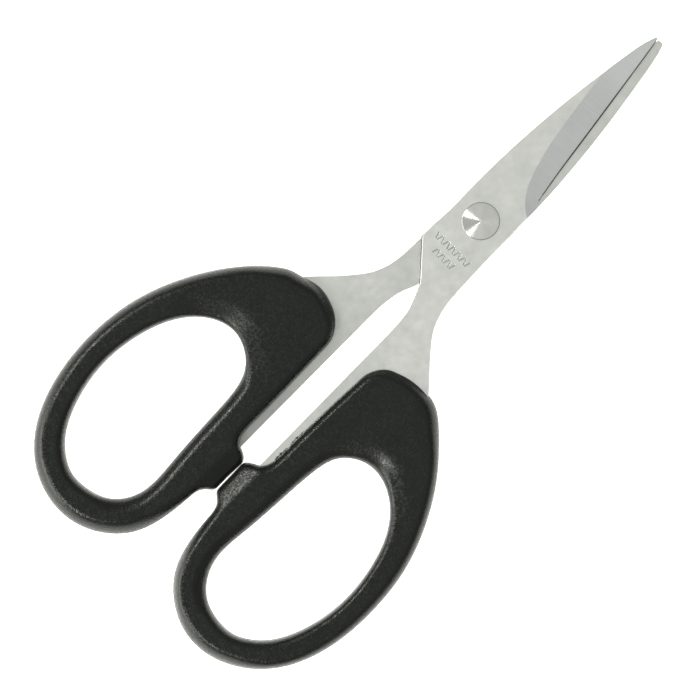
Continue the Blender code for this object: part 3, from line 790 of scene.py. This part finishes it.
for piece, node, body, slot in (
    (front, "front_blade", "front_half", "blade_steel"),
    (right, "right_handle", "front_half", "handle_plastic"),
    (back, "back_blade", "back_half", "blade_steel"),
    (left, "left_handle", "back_half", "handle_plastic"),
    (rivet, "pivot_rivet", "back_half", "rivet_steel"),
    (washer, "rivet_washer", "back_half", "washer_steel"),
):
    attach(piece, body)
    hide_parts(node)

# ---------------------------------------------------------------- stage
VIEW_TURN = math.radians(-45.35)  # the shears lie corner to corner in the view


def floor():
    bm = bmesh.new()
    bmesh.ops.create_grid(bm, x_segments=8, y_segments=8, size=6.0)
    m, t, s = nodes_of("pale_floor")
    coords = add(t, "ShaderNodeTexCoord", (-900, 0))
    n = noise(t, coords.outputs["Object"], 3.0, 2)
    t.links.new(blend_colour(t, n, (0.86, 0.86, 0.855), (0.88, 0.88, 0.875)), s.inputs["Base Color"])
    s.inputs["Roughness"].default_value = 0.9
    s.inputs["Specular IOR Level"].default_value = 0.1
    s.inputs["Emission Color"].default_value = (1, 0.99, 0.93, 1)
    s.inputs["Emission Strength"].default_value = 1.0  # a faintly lit table, so the shadows stay pale
    obj = from_bmesh("floor", bm, [m])
    obj.location.z = -0.0001


def softbox(name, view_angle, zenith, size, power, distance=1.7, colour=(1, 1, 1)):
    """An area light aimed at the shears. view_angle is its bearing in the view, anticlockwise from the right."""
    lamp = bpy.data.lights.new(name, "AREA")
    lamp.shape = "RECTANGLE"
    lamp.size, lamp.size_y = size
    lamp.energy = power
    lamp.color = colour
    obj = bpy.data.objects.new(name, lamp)
    bpy.context.scene.collection.objects.link(obj)
    a, z = math.radians(view_angle) + VIEW_TURN, math.radians(zenith)
    direction = Vector((math.sin(z) * math.cos(a), math.sin(z) * math.sin(a), math.cos(z)))
    obj.location = direction * distance
    obj.rotation_mode = "QUATERNION"
    obj.rotation_quaternion = direction.to_track_quat("Z", "Y")
    return obj


def radiance_power(radiance, size):
    """Watts that give an area light that radiance."""
    return radiance * math.pi * size[0] * size[1]


floor()
over = (1.5, 1.5)
softbox("overhead_softbox", 0, 0, over, radiance_power(0.22, over), 1.9)
key_a, key_b = (0.27, 0.42), (0.29, 0.4)
softbox("upper_left_softbox", 148, 41, key_a, radiance_power(50.0, key_a), 1.8)
softbox("lower_left_softbox", 227, 41, key_b, radiance_power(50.0, key_b), 1.8)
side_panel = (2.2, 1.1)
softbox("left_panel", 192, 76, side_panel, radiance_power(8.5, side_panel), 1.9)

world = bpy.data.worlds.new("studio")
world.use_nodes = True
world.node_tree.nodes["Background"].inputs["Color"].default_value = (1, 1, 1, 1)
background = world.node_tree.nodes["Background"]
# the room is even but for a dimmer patch high up between the two softboxes
sky = add(world.node_tree, "ShaderNodeTexCoord", (-900, 0))
towards = add(world.node_tree, "ShaderNodeVectorMath", (-700, 0), operation="DOT_PRODUCT")
a, z = math.radians(186) + VIEW_TURN, math.radians(25)
towards.inputs[1].default_value = (math.sin(z) * math.cos(a), math.sin(z) * math.sin(a), math.cos(z))
world.node_tree.links.new(sky.outputs["Generated"], towards.inputs[0])
dim = spread(world.node_tree, towards.outputs["Value"], math.cos(math.radians(17)), math.cos(math.radians(11)), 0.58, 0.26)
world.node_tree.links.new(dim, background.inputs["Strength"])
bpy.context.scene.world = world
bpy.context.scene.view_settings.view_transform = "Standard"
bpy.context.scene.view_settings.look = "None"

camera = bpy.data.cameras.new("camera")
camera.lens, camera.sensor_width = 200, 36
WIDTH = 0.1659  # what the view spans at the shears
cam = bpy.data.objects.new("camera", camera)
bpy.context.scene.collection.objects.link(cam)
height = WIDTH * camera.lens / camera.sensor_width
cam.location = (PIVOT.x - 0.0435, 0.0006, 0.0055 + height)
cam.rotation_euler = (0, 0, VIEW_TURN)
camera.clip_start, camera.clip_end = 0.01, 20
bpy.context.scene.camera = cam
